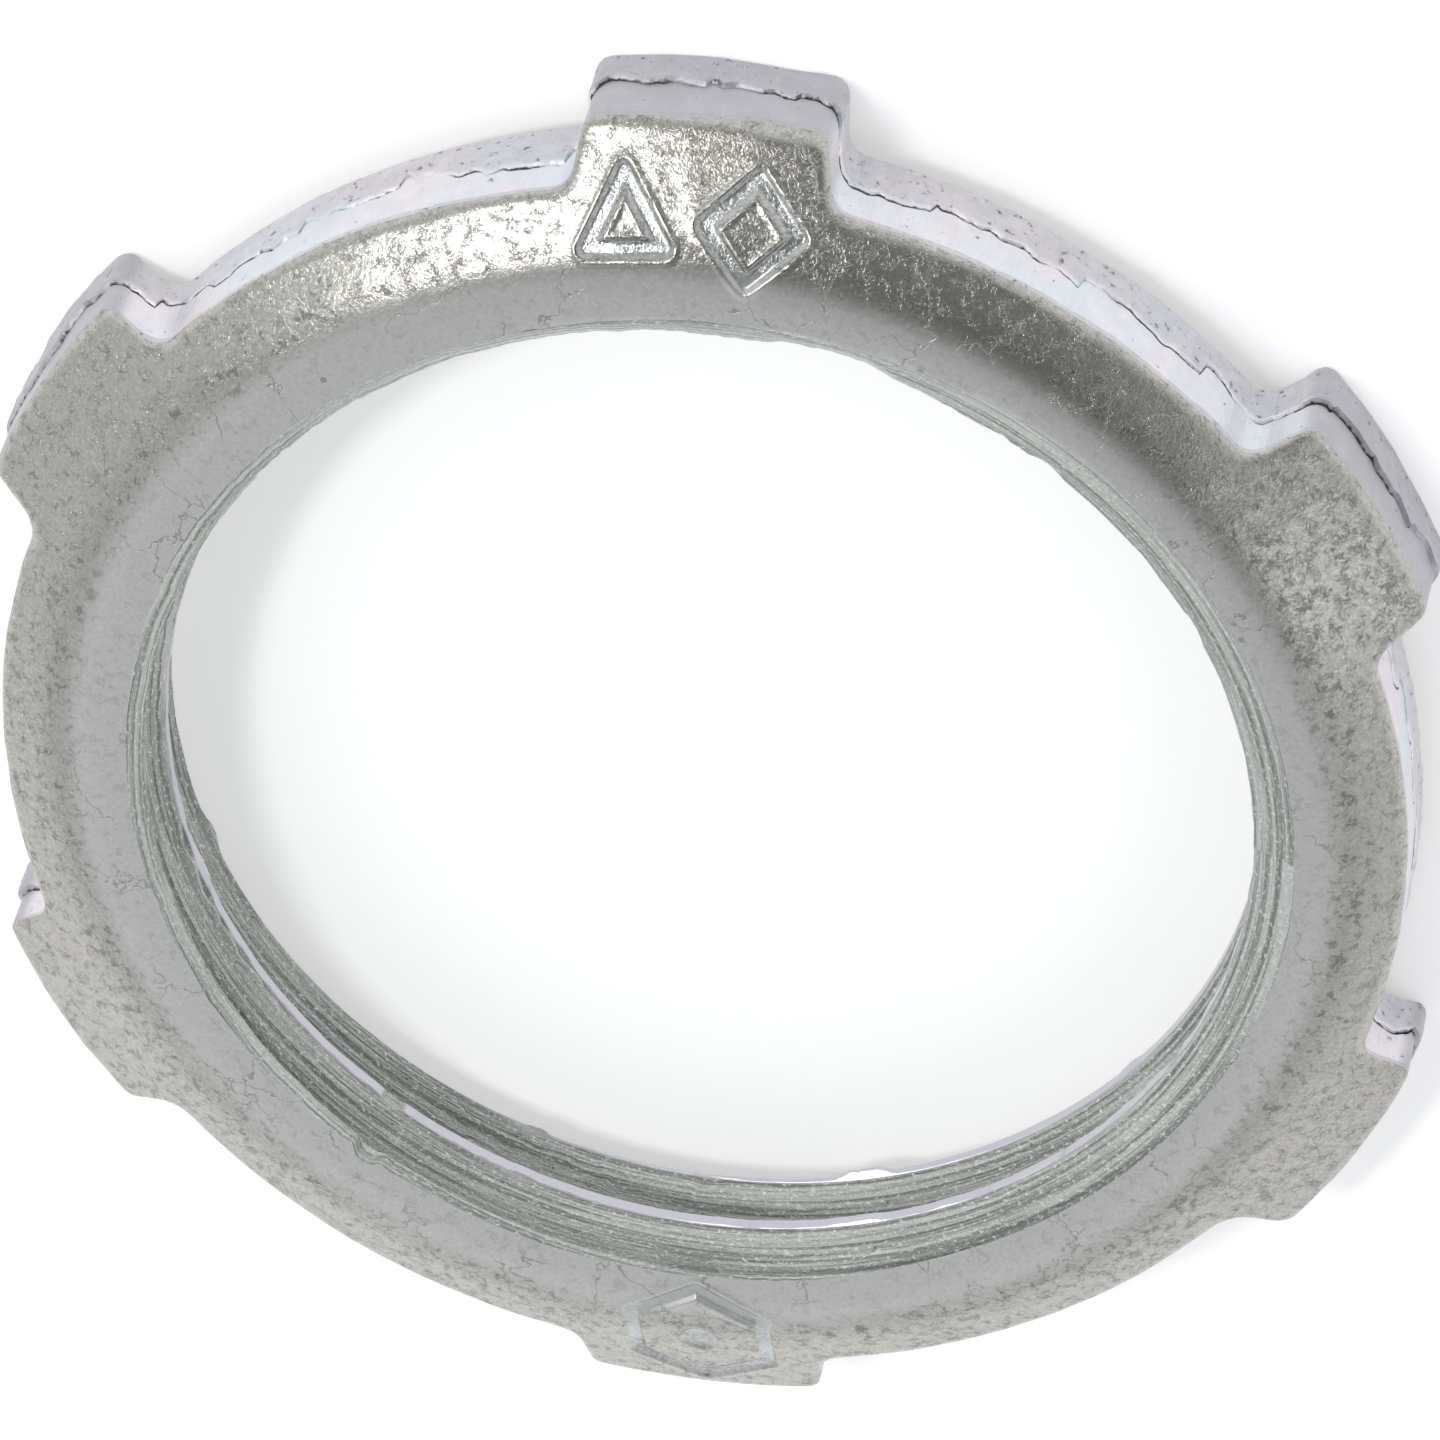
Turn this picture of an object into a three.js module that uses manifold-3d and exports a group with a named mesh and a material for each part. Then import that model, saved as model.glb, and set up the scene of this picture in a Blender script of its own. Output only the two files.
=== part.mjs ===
// Conduit locknut: one stamped, coined and tapped steel ring with six driving lugs.
// Millimetres. +Z runs along the bore axis, from the panel side to the front side.
// The origin is on that axis, at the level of the lug tips, and one lug points along -Y.
import * as THREE from "three";
import { mergeVertices } from "three/addons/utils/BufferGeometryUtils.js";
import Module from "manifold-3d";

// Heights above the plane that the lug tips touch.
const FRONT_HEIGHT = 5.2; // front face round the bore
const BACK_HEIGHT = 0.94; // flat back face, held off the panel by the lugs

// Radii of the ring.
const BORE_MOUTH_RADIUS = 16.2; // open end of the front countersink
const BACK_MOUTH_RADIUS = 15.8; // small edge break at the back of the bore
const FLAT_RADIUS = 17.8; // the front face is flat out to here, then coined to a cone
const RING_RADIUS = 19.9; // rim between the lugs
const BEND_RADIUS = 19.6; // the lugs bend down towards the panel from here
const LAND_RADIUS = 21.35; // the narrow land that bites the panel starts here
const TIP_RADIUS = 21.7; // end of each lug
const CONE_ANGLE = THREE.MathUtils.degToRad(30); // fall of the coined cone

// Lugs.
const LUG_COUNT = 6;
const LUG_WIDTH = 6.84; // at half the length of a lug
const LUG_DRAFT = THREE.MathUtils.degToRad(8.5); // each side leans in towards the tip
const ROOT_FILLET = 0.8;
const TIP_FILLET = 0.35;

// Internal thread: 1-11.5, straight, right-hand, 60 degree flanks.
const PITCH = 25.4 / 11.5;
const MINOR_RADIUS = 15.5;
const THREAD_DEPTH = 1.3;
const CREST_WIDTH = 0.17 * PITCH;
const FLANK_HALF_ANGLE = THREE.MathUtils.degToRad(30);
const GROOVE_HEIGHT_ON_X = 1.75; // where the groove's middle crosses the +X axis

// Facets.
const RING_FACETS = 72; // for each turn of the thread too
const ARC_FACETS = 3; // half the number of facets in each arc of the outline

const wasm = await Module();
wasm.setup();

// A closed geometry as a solid that can be joined and cut.
function solidFrom(geometry) {
  const bare = geometry.clone();
  bare.deleteAttribute("normal");
  bare.deleteAttribute("uv");
  const merged = mergeVertices(bare, 1e-4);
  return new wasm.Manifold(
    new wasm.Mesh({
      numProp: 3,
      vertProperties: merged.attributes.position.array,
      triVerts: new Uint32Array(merged.index.array),
    }),
  );
}

function geometryFrom(solid) {
  const mesh = solid.getMesh();
  const geometry = new THREE.BufferGeometry();
  geometry.setAttribute("position", new THREE.BufferAttribute(mesh.vertProperties, 3));
  geometry.setIndex(new THREE.BufferAttribute(mesh.triVerts, 1));
  geometry.computeVertexNormals();
  return geometry;
}

// The cross-section of the ring and lugs, turned about the bore axis.
function coinedRing() {
  const overhang = 1; // the section runs past the tips and below them; the outline trims it
  const backBreak = BACK_MOUTH_RADIUS - MINOR_RADIUS;
  const countersink = BORE_MOUTH_RADIUS - MINOR_RADIUS;
  const bendSlope = BACK_HEIGHT / (LAND_RADIUS - BEND_RADIUS);
  const outerRadius = TIP_RADIUS + overhang;
  const coneDrop = (outerRadius - FLAT_RADIUS) * Math.tan(CONE_ANGLE);
  const section = [
    [MINOR_RADIUS, BACK_HEIGHT + backBreak],
    [BACK_MOUTH_RADIUS, BACK_HEIGHT],
    [BEND_RADIUS, BACK_HEIGHT],
    [outerRadius, BACK_HEIGHT - (outerRadius - BEND_RADIUS) * bendSlope],
    [outerRadius, FRONT_HEIGHT - coneDrop],
    [FLAT_RADIUS, FRONT_HEIGHT],
    [BORE_MOUTH_RADIUS, FRONT_HEIGHT],
    [MINOR_RADIUS, FRONT_HEIGHT - countersink],
  ].map(([radius, height]) => new THREE.Vector2(radius, height));
  section.push(section[0].clone());
  return new THREE.LatheGeometry(section, RING_FACETS).rotateX(Math.PI / 2);
}

// The sheared outline of the blank: ring arcs, filleted lug roots and rounded tips.
function blankOutline() {
  const middle = (RING_RADIUS + TIP_RADIUS) / 2;
  const sideDistance =
    middle * Math.sin(LUG_DRAFT) + (LUG_WIDTH / 2) * Math.cos(LUG_DRAFT);
  const sideNormal = Math.PI / 2 - LUG_DRAFT; // of a lug's left side, from the lug's middle line
  // The centre of an arc of this radius that touches a lug's left side and the given circle.
  const arcCentre = (radius, circle) => {
    const distance = circle + radius;
    const turn = sideNormal - Math.acos((sideDistance + radius) / distance);
    return { distance, turn };
  };
  const root = arcCentre(ROOT_FILLET, RING_RADIUS);
  const corner = arcCentre(-TIP_FILLET, TIP_RADIUS);
  const outline = new THREE.Shape();
  const arc = ({ distance, turn }, radius, lug, from, to, clockwise) =>
    outline.absarc(
      distance * Math.cos(lug + turn),
      distance * Math.sin(lug + turn),
      radius,
      lug + from,
      lug + to,
      clockwise,
    );
  const mirrored = ({ distance, turn }) => ({ distance, turn: -turn });
  for (let i = 0; i < LUG_COUNT; i++) {
    const step = (2 * Math.PI) / LUG_COUNT;
    const lug = i * step - Math.PI / 2;
    arc(mirrored(root), ROOT_FILLET, lug, Math.PI - root.turn, Math.PI - sideNormal, true);
    arc(mirrored(corner), TIP_FILLET, lug, -sideNormal, -corner.turn, false);
    outline.absarc(0, 0, TIP_RADIUS, lug - corner.turn, lug + corner.turn, false);
    arc(corner, TIP_FILLET, lug, corner.turn, sideNormal, false);
    arc(root, ROOT_FILLET, lug, sideNormal - Math.PI, root.turn - Math.PI, true);
    outline.absarc(0, 0, RING_RADIUS, lug + root.turn, lug + step - root.turn, false);
  }
  return new THREE.ExtrudeGeometry(outline, {
    depth: 2 * FRONT_HEIGHT,
    bevelEnabled: false,
    curveSegments: ARC_FACETS,
  });
}

// The space that the tap clears: a V section carried up a right-hand helix.
function threadGroove() {
  const mouth = (PITCH - CREST_WIDTH) / 2; // half the groove's width at the minor radius
  const floor = mouth - THREAD_DEPTH * Math.tan(FLANK_HALF_ANGLE);
  const clearance = 0.15; // the V starts this far inside the bore wall
  const lip = mouth + clearance * Math.tan(FLANK_HALF_ANGLE);
  const inner = MINOR_RADIUS - clearance;
  const major = MINOR_RADIUS + THREAD_DEPTH;
  const section = new THREE.Shape([
    new THREE.Vector2(inner, -lip),
    new THREE.Vector2(major, -floor),
    new THREE.Vector2(major, floor),
    new THREE.Vector2(inner, lip),
  ]);
  const firstHeight = GROOVE_HEIGHT_ON_X - PITCH;
  const lastHeight = FRONT_HEIGHT + PITCH / 2;
  const steps = Math.ceil(((lastHeight - firstHeight) / PITCH) * RING_FACETS);
  const groove = new THREE.ExtrudeGeometry(section, {
    depth: steps / RING_FACETS,
    steps,
    bevelEnabled: false,
  });
  // The straight bar is wound up: its length, in turns, becomes the angle and the rise.
  const position = groove.attributes.position;
  for (let i = 0; i < position.count; i++) {
    const radius = position.getX(i);
    const angle = position.getZ(i) * 2 * Math.PI;
    const height = firstHeight + position.getZ(i) * PITCH - position.getY(i);
    position.setXYZ(i, radius * Math.cos(angle), radius * Math.sin(angle), height);
  }
  return groove;
}

const zincPlatedSteel = new THREE.MeshStandardMaterial({
  color: 0xb4b4ae,
  roughness: 0.45,
  metalness: 1,
});

const ring = solidFrom(coinedRing());
const blank = ring.intersect(solidFrom(blankOutline()));
const locknut = new THREE.Mesh(
  geometryFrom(blank.subtract(solidFrom(threadGroove()))),
  zincPlatedSteel,
);
locknut.name = "locknut";

const group = new THREE.Group();
group.add(locknut);
export default group;
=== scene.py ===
import math

import bmesh
import bpy
from mathutils import Matrix, Vector, noise


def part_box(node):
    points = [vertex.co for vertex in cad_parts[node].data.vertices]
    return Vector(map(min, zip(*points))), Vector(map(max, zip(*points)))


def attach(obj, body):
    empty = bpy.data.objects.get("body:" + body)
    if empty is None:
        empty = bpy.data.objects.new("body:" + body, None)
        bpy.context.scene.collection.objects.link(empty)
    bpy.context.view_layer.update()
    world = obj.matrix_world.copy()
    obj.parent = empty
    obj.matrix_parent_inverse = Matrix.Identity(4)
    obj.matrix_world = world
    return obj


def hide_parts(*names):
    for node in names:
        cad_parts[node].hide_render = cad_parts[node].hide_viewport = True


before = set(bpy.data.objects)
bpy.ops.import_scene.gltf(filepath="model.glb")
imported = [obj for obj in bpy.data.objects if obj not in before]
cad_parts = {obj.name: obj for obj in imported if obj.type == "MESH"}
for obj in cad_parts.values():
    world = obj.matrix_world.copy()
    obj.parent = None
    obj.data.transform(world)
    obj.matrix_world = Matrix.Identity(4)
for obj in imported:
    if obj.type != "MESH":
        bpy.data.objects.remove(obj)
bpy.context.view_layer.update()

mm = 0.001
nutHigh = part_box("locknut")[1]
farOff = 9  # mm; beyond the reach of any crack or mark


# Camera and light

shot = {
    "azimuth": -13.6,  # degrees round from the -Y side
    "elevation": 53.9,
    "roll": -163.2,  # the nut is seen from over its near edge, with that edge at the top
    "distance": 376.1,
    "aim": (-0.67, -3.24),  # on the front face
    "lens": 339.7,
}


def sphereDirection(azimuth, elevation):
    a, e = math.radians(azimuth), math.radians(elevation)
    return Vector((math.sin(a) * math.cos(e), -math.cos(a) * math.cos(e), math.sin(e)))


def makeCamera():
    data = bpy.data.cameras.new("camera")
    data.lens = shot["lens"]
    data.clip_start, data.clip_end = 0.01, 10
    camera = bpy.data.objects.new("camera", data)
    bpy.context.scene.collection.objects.link(camera)
    back = sphereDirection(shot["azimuth"], shot["elevation"])
    aim = Vector((shot["aim"][0] * mm, shot["aim"][1] * mm, nutHigh.z))
    level = (-back).to_track_quat("-Z", "Y").to_matrix()
    turned = level @ Matrix.Rotation(math.radians(shot["roll"]), 3, "Z")
    camera.matrix_world = Matrix.Translation(aim + back * shot["distance"] * mm) @ turned.to_4x4()
    bpy.context.scene.camera = camera


studio = {
    "strength": 1.75,
    "horizon": "#d4d4d6",
    "dome": "#b6b8ba",
    "overhead": "#6f7070",  # the unlit ceiling, which the coined cone mirrors on its near side
    "overheadAzimuth": -20,
    "overheadElevation": 79,
    "overheadSpread": (18, 46),  # degrees from its middle: dark within, gone beyond
    "floor": "#f6f6f6",
    "floorGlow": 0.3,  # the nut lies on a light table
    "floorSize": 3000,
}

# Each lamp: direction, distance, width and height in mm, and power in watts.
lamps = {
    "key": {"azimuth": 50, "elevation": 60, "distance": 900, "size": (250, 120), "power": 2},
    "fill": {"azimuth": -104, "elevation": 49, "distance": 900, "size": (90, 90), "power": 0.09},
}


def makeLamp(name, lamp):
    data = bpy.data.lights.new(name, "AREA")
    data.shape = "RECTANGLE"
    data.size, data.size_y = lamp["size"][0] * mm, lamp["size"][1] * mm
    data.energy = lamp["power"]
    lampObject = bpy.data.objects.new(name, data)
    bpy.context.scene.collection.objects.link(lampObject)
    direction = sphereDirection(lamp["azimuth"], lamp["elevation"])
    lampObject.location = direction * lamp["distance"] * mm
    lampObject.rotation_euler = (-direction).to_track_quat("-Z", "Y").to_euler()


def linear(hexColour):
    channels = [int(hexColour[i:i + 2], 16) / 255 for i in (1, 3, 5)]
    return tuple(c / 12.92 if c <= 0.04045 else ((c + 0.055) / 1.055) ** 2.4 for c in channels) + (1,)


# Adds a node, sets its properties, and fills its inputs from values or from other sockets.
def addNode(tree, kind, settings=None, inputs=None):
    node = tree.nodes.new(kind)
    for name, value in (settings or {}).items():
        setattr(node, name, value)
    for name, value in (inputs or {}).items():
        if isinstance(value, bpy.types.NodeSocket):
            tree.links.new(value, node.inputs[name])
        else:
            node.inputs[name].default_value = value
    return node


def newMaterial(name):
    material = bpy.data.materials.new(name)
    material.use_nodes = True
    material.node_tree.nodes.clear()
    return material, material.node_tree


def finishMaterial(tree, shader):
    addNode(tree, "ShaderNodeOutputMaterial", inputs={"Surface": shader.outputs["BSDF"]})


# The surround is pale at the horizon, a little darker above, and darkest where no lamp hangs overhead.
def makeSurround():
    world = bpy.data.worlds.new("surround")
    bpy.context.scene.world = world
    world.use_nodes = True
    tree = world.node_tree
    tree.nodes.clear()
    direction = addNode(tree, "ShaderNodeTexCoord").outputs["Generated"]
    height = addNode(tree, "ShaderNodeSeparateXYZ", inputs={"Vector": direction}).outputs["Z"]
    lift = addNode(tree, "ShaderNodeMapRange", {"interpolation_type": "SMOOTHSTEP"},
                   {"Value": height, "From Min": 0.05, "From Max": 0.5})
    overhead = sphereDirection(studio["overheadAzimuth"], studio["overheadElevation"])
    towards = addNode(tree, "ShaderNodeVectorMath", {"operation": "DOT_PRODUCT"},
                      {0: direction, 1: overhead})
    near, far = (math.cos(math.radians(angle)) for angle in studio["overheadSpread"])
    shade = addNode(tree, "ShaderNodeMapRange", {"interpolation_type": "SMOOTHSTEP"},
                    {"Value": towards.outputs["Value"], "From Min": far, "From Max": near})
    dome = addNode(tree, "ShaderNodeMix", {"data_type": "RGBA"},
                   {0: lift.outputs[0], 6: linear(studio["horizon"]), 7: linear(studio["dome"])})
    whole = addNode(tree, "ShaderNodeMix", {"data_type": "RGBA"},
                    {0: shade.outputs[0], 6: dome.outputs[2], 7: linear(studio["overhead"])})
    background = addNode(tree, "ShaderNodeBackground", inputs={
        "Color": whole.outputs[2], "Strength": studio["strength"]})
    addNode(tree, "ShaderNodeOutputWorld", inputs={"Surface": background.outputs[0]})


def makeStudio():
    makeSurround()
    bpy.context.scene.view_settings.view_transform = "Standard"
    for name, lamp in lamps.items():
        makeLamp(name, lamp)
    bm = bmesh.new()
    bmesh.ops.create_circle(bm, cap_ends=True, segments=64, radius=studio["floorSize"] * mm / 2)
    mesh = bpy.data.meshes.new("floor")
    bm.to_mesh(mesh)
    bm.free()
    floor = bpy.data.objects.new("floor", mesh)
    bpy.context.scene.collection.objects.link(floor)
    paper, tree = newMaterial("paleLightTable")
    finishMaterial(tree, addNode(tree, "ShaderNodeBsdfPrincipled", inputs={
        "Base Color": linear(studio["floor"]), "Roughness": 0.9, "Specular IOR Level": 0.2,
        "Emission Color": (1, 1, 1, 1), "Emission Strength": studio["floorGlow"]}))
    mesh.materials.append(paper)


makeCamera()
makeStudio()
print("camera, floor and lamps are in place")


# The locknut

nut = {
    "frontHeight": nutHigh.z / mm,
    "backHeight": 0.94,
    "boreRadius": 15.5,
    "boreMouth": 16.2,
    "backMouth": 15.8,
    "flatRadius": 17.8,
    "ringRadius": 19.9,
    "bendRadius": 19.6,
    "landRadius": 21.35,
    "tipRadius": nutHigh.y / mm - 0.1,  # the torn ledge stands this far out again
    "coneAngle": 30,
    "lugCount": 6,
    "lugWidth": 6.84,
    "lugDraft": 8.5,
    "rootFillet": 0.8,
    "tipFillet": 0.45,
    "bendSoftness": 0.38,  # how gently the flat turns into the cone
    "rollWidth": 0.26,  # the punch pulls the front edge down over this width
    "rollDrop": 0.15,
    "rollWander": 0.14,
    "outlineShift": (0.13, 0.15),  # the blanking die sits a little off the bore
    "lugEnd": (20.6, 21.4),  # a wall between these radii turns into the end of a lug
    "columns": 960,
    "sliverSize": 0.002,
    "sharpEdge": 38,  # degrees; flatter edges are shaded smooth
}

# The sheared wall: burnished from the front, then a jagged crack, then the torn part.
shear = {
    "crackLevel": 0.56,  # share of the wall above the crack
    "toothLength": 4.6,  # the crack climbs in slanting teeth about this long
    "toothHeight": 0.17,
    "crackWander": 0.12,
    "crackDepth": 0.1,
    "ledge": 0.15,
    "heel": 0.16,  # rounding of the back edge
}

# Damage round the bore: angle in degrees, size in mm, and width in mm along the edge.
mouthChips = [(-104, 0.16, 1.7), (-128, 0.1, 0.5), (-152, 0.12, 0.6), (54, 0.22, 0.35), (150, 0.1, 0.4)]
backNubs = [(106, 0.19, 0.75), (20, 0.17, 0.6), (140, 0.08, 0.4), (70, 0.07, 0.3)]
nubLimit = 0.19

firstLug = -math.pi / 2


# One half of a lug and of the gap beside it, as pieces whose lengths add up.
# The lug's middle line is +X. Each piece gives a point and its outward normal at a length.
def makeHalfOutline():
    draft = math.radians(nut["lugDraft"])
    ring, tip = nut["ringRadius"], nut["tipRadius"]
    sideAngle = math.pi / 2 - draft
    sideNormal = Vector((math.cos(sideAngle), math.sin(sideAngle)))
    sideDistance = (ring + tip) / 2 * math.sin(draft) + nut["lugWidth"] / 2 * math.cos(draft)

    def arcCentre(radius, circle):
        distance = circle + radius
        turn = sideAngle - math.acos((sideDistance + radius) / distance)
        return turn, Vector((math.cos(turn), math.sin(turn))) * distance

    cornerTurn, cornerCentre = arcCentre(-nut["tipFillet"], tip)
    rootTurn, rootCentre = arcCentre(nut["rootFillet"], ring)
    sideStart = cornerCentre + sideNormal * nut["tipFillet"]
    sideEnd = rootCentre - sideNormal * nut["rootFillet"]
    halfStep = math.pi / nut["lugCount"]

    def arc(centre, radius, start, end, inward=False):
        sign = -1 if inward else 1

        def at(share):
            angle = start + (end - start) * share
            out = Vector((math.cos(angle), math.sin(angle)))
            return centre + out * radius, out * sign
        return abs(end - start) * radius, at

    def side(share):
        return sideStart.lerp(sideEnd, share), sideNormal

    origin = Vector((0, 0))
    return [
        arc(origin, tip, 0, cornerTurn),
        arc(cornerCentre, nut["tipFillet"], cornerTurn, sideAngle),
        ((sideEnd - sideStart).length, side),
        arc(rootCentre, nut["rootFillet"], sideAngle - math.pi, rootTurn - math.pi, inward=True),
        arc(origin, ring, rootTurn, halfStep),
    ]


halfOutline = makeHalfOutline()
halfLength = sum(length for length, at in halfOutline)
outlineLength = 2 * nut["lugCount"] * halfLength


# A point of the outline and its outward normal, for a share of the way round from the first lug.
def outlinePoint(share):
    sector, along = divmod(share * nut["lugCount"], 1)
    mirrored = along > 0.5
    left = 2 * (1 - along if mirrored else along) * halfLength
    for length, at in halfOutline:
        if left <= length + 1e-6:
            break
        left -= length
    point, normal = at(min(left / length, 1))
    if mirrored:
        point, normal = Vector((point.x, -point.y)), Vector((normal.x, -normal.y))
        sector += 1
    turn = Matrix.Rotation(firstLug + sector * 2 * math.pi / nut["lugCount"], 2)
    return turn @ point + Vector(nut["outlineShift"]), turn @ normal


def softRamp(x, softness):
    return softness * math.log1p(math.exp(min(x / softness, 40)))


def smoothStep(low, high, x):
    t = min(max((x - low) / (high - low), 0), 1)
    return t * t * (3 - 2 * t)


# Smooth noise from -1 to 1, with bumps about as large as size.
def rough(point, size, seed):
    return noise.noise(Vector((point[0] / size, point[1] / size, seed)))


# The sum of small bumps round an edge, from a list of angle, size and width.
def bumpsAt(angle, bumps):
    total = 0
    for place, size, width in bumps:
        gap = (angle - math.radians(place) + math.pi) % (2 * math.pi) - math.pi
        total += size * math.exp(-(gap * nut["boreRadius"] / width) ** 4)
    return total


def frontHeightAt(radius):
    fall = softRamp(radius - nut["flatRadius"], nut["bendSoftness"])
    return nut["frontHeight"] - fall * math.tan(math.radians(nut["coneAngle"]))


def backHeightAt(radius):
    slope = nut["backHeight"] / (nut["landRadius"] - nut["bendRadius"])
    return max(0, nut["backHeight"] - slope * softRamp(radius - nut["bendRadius"], nut["bendSoftness"]))


# What wanders round the outline, worked out once for each column.
def makeColumn(column):
    around = column / nut["columns"]
    outer, normal = outlinePoint(around)
    angle = firstLug + 2 * math.pi * around
    spoke = Vector((math.cos(angle), math.sin(angle)))
    bore = spoke * nut["boreRadius"]
    atTip = smoothStep(*nut["lugEnd"], outer.length)
    tooth = around * outlineLength / shear["toothLength"] + 0.5 * rough(outer, 7, 3)
    slant = (tooth % 1) ** 1.5 - 0.5
    crack = (shear["crackLevel"] + shear["toothHeight"] * slant * (1 - 0.6 * atTip)
             + shear["crackWander"] * rough(outer, 2.6, 11) + 0.08 * rough(outer, 0.9, 13)
             + 0.06 * rough(outer, 0.4, 12))
    return {
        "outer": outer + normal * 0.03 * rough(outer, 1.1, 21),
        "normal": normal,
        "spoke": spoke,
        "roll": max(0.05, (nut["rollDrop"]
                           + nut["rollWander"] * (1 + 2 * atTip) * rough(outer, 5.5, 47))),
        "crack": min(max(crack, 0.25), 0.85),
        "crackDepth": shear["crackDepth"] * smoothStep(-0.35, 0.3, rough(outer, 2.2, 31)),
        "ledge": shear["ledge"] * (0.25 + 0.75 * atTip) * (1 + 0.8 * rough(outer, 3, 41)),
        "mouth": (nut["boreMouth"] + 0.05 * rough(bore, 1.6, 51) + 0.035 * rough(bore, 0.35, 52)
                  + bumpsAt(angle, mouthChips)),
        "lip": (0.8 * bumpsAt(angle, mouthChips) + 0.05 * rough(bore, 0.9, 53)
                + 0.03 * rough(bore, 0.3, 54)),
        "nub": min(nubLimit, (bumpsAt(angle, backNubs) * (1 + 0.5 * rough(bore, 0.25, 62))
                              + 0.03 * max(0, rough(bore, 0.7, 61)))),
    }


# The section, from the front of the bore outwards, down the sheared wall and back underneath.
# Each row is a zone and how far through the zone it lies; rows near the crack are in mm from it.
def makeRows():
    found = [("mouth", 0.5), ("mouth", 1)]
    found += [("flat", (i + 1) / 7) for i in range(7)]
    found += [("cone", (i + 1) / 18) for i in range(18)]
    found += [("roll", (i + 1) / 5) for i in range(5)]
    found += [("burnished", (i + 1) / 7) for i in range(7)]
    found += [("crack", distance) for distance in (-0.07, -0.03, 0, 0.03, 0.08, 0.16)]
    found += [("torn", (i + 1) / 6) for i in range(6)]
    found += [("heel", (i + 1) / 3) for i in range(3)]
    found += [("under", (i + 1) / 6) for i in range(6)]
    found += [("back", 0.5), ("back", 1), ("boreBack", 1), ("bore", 1)]
    return found


rows = makeRows()


# Where a row meets a column, how far it lies behind the crack, and how near it is to the rim.
def placeOnSection(row, column):
    zone, share = rows[row]
    outer, normal, spoke = column["outer"], column["normal"], column["spoke"]
    behindCrack = farOff
    rim = 0
    mouth = column["mouth"]
    countersink = mouth - nut["boreRadius"]
    top = frontHeightAt(outer.length) - column["roll"]
    bottom = backHeightAt(outer.length) + shear["heel"]
    crackHeight = top + (bottom - top) * column["crack"]
    if zone == "mouth":
        flat = spoke * (nut["boreRadius"] + countersink * share + column["lip"] * (1 - share))
        height = nut["frontHeight"] - countersink * (1 - share)
    elif zone == "flat":
        flat = spoke * (mouth + (nut["flatRadius"] - mouth) * share)
        height = frontHeightAt(flat.length)
    elif zone == "cone":
        flat = (spoke * nut["flatRadius"]).lerp(outer - normal * nut["rollWidth"], share)
        height = frontHeightAt(flat.length)
        rim = share * 0.85
        mottle = 0.012 * rough(flat, 0.8, 71) + 0.02 * rough(flat, 2.4, 72)
        height += mottle * smoothStep(0, 0.3, share)
    elif zone == "roll":
        flat = outer - normal * nut["rollWidth"] * (1 - share)
        height = frontHeightAt(flat.length) - column["roll"] * (1 - math.sqrt(1 - share * share))
        height += 0.012 * rough(flat, 0.8, 71) * (1 - share)
        rim = 0.85 + 0.15 * share
    elif zone == "burnished":
        height = top + (crackHeight + 0.11 - top) * share
        flat = outer + normal * 0.01 * rough((outer.x, outer.y), 0.5, 80 + height)
        behindCrack = crackHeight - height
    elif zone == "crack":
        height = crackHeight - share
        depth = column["crackDepth"] * math.exp(-(share / 0.04) ** 2)
        flat = outer + normal * (column["ledge"] * smoothStep(-0.02, 0.12, share) - depth)
        behindCrack = share
    elif zone == "torn":
        height = crackHeight - 0.16 + (bottom - crackHeight + 0.16) * share
        torn = 0.05 * rough(outer, 0.5, 90 + height / 0.5) + 0.03 * rough(outer, 0.2, 95 + height / 0.2)
        flat = outer + normal * (column["ledge"] + min(torn, 0.02 + column["ledge"] / 2))
        behindCrack = crackHeight - height
    elif zone == "heel":
        turn = share * math.pi / 2
        flat = outer + normal * (column["ledge"] - shear["heel"] * (1 - math.cos(turn)))
        height = bottom - shear["heel"] * math.sin(turn)
        behindCrack = crackHeight - height
    elif zone == "under":
        start = outer + normal * (column["ledge"] - shear["heel"])
        flat = start.lerp(spoke * nut["flatRadius"], share)
        height = max(backHeightAt(flat.length), backHeightAt(outer.length) * (1 - share))
        height += 0.015 * rough(flat, 1.5, 75) * math.sin(math.pi * share)
        height = max(height, 0)
    elif zone == "back":
        backMouth = nut["backMouth"] - column["nub"]
        flat = spoke * (nut["flatRadius"] + (backMouth - nut["flatRadius"]) * share)
        height = nut["backHeight"]
    elif zone == "boreBack":
        flat = spoke * (nut["boreRadius"] - column["nub"])
        height = nut["backHeight"] + nut["backMouth"] - nut["boreRadius"]
    else:
        flat = spoke * (nut["boreRadius"] + column["lip"])
        height = nut["frontHeight"] - countersink
    return Vector((flat.x, flat.y, height)) * mm, behindCrack, rim


# The order of the locknut's materials, and the zones that aren't part of the zinc face.
zincFace, shearedWall, tappedThread = range(3)
zoneMaterial = {
    "burnished": shearedWall, "crack": shearedWall, "torn": shearedWall, "heel": shearedWall,
    "bore": tappedThread, "boreBack": tappedThread, "mouth": tappedThread,
}


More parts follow.
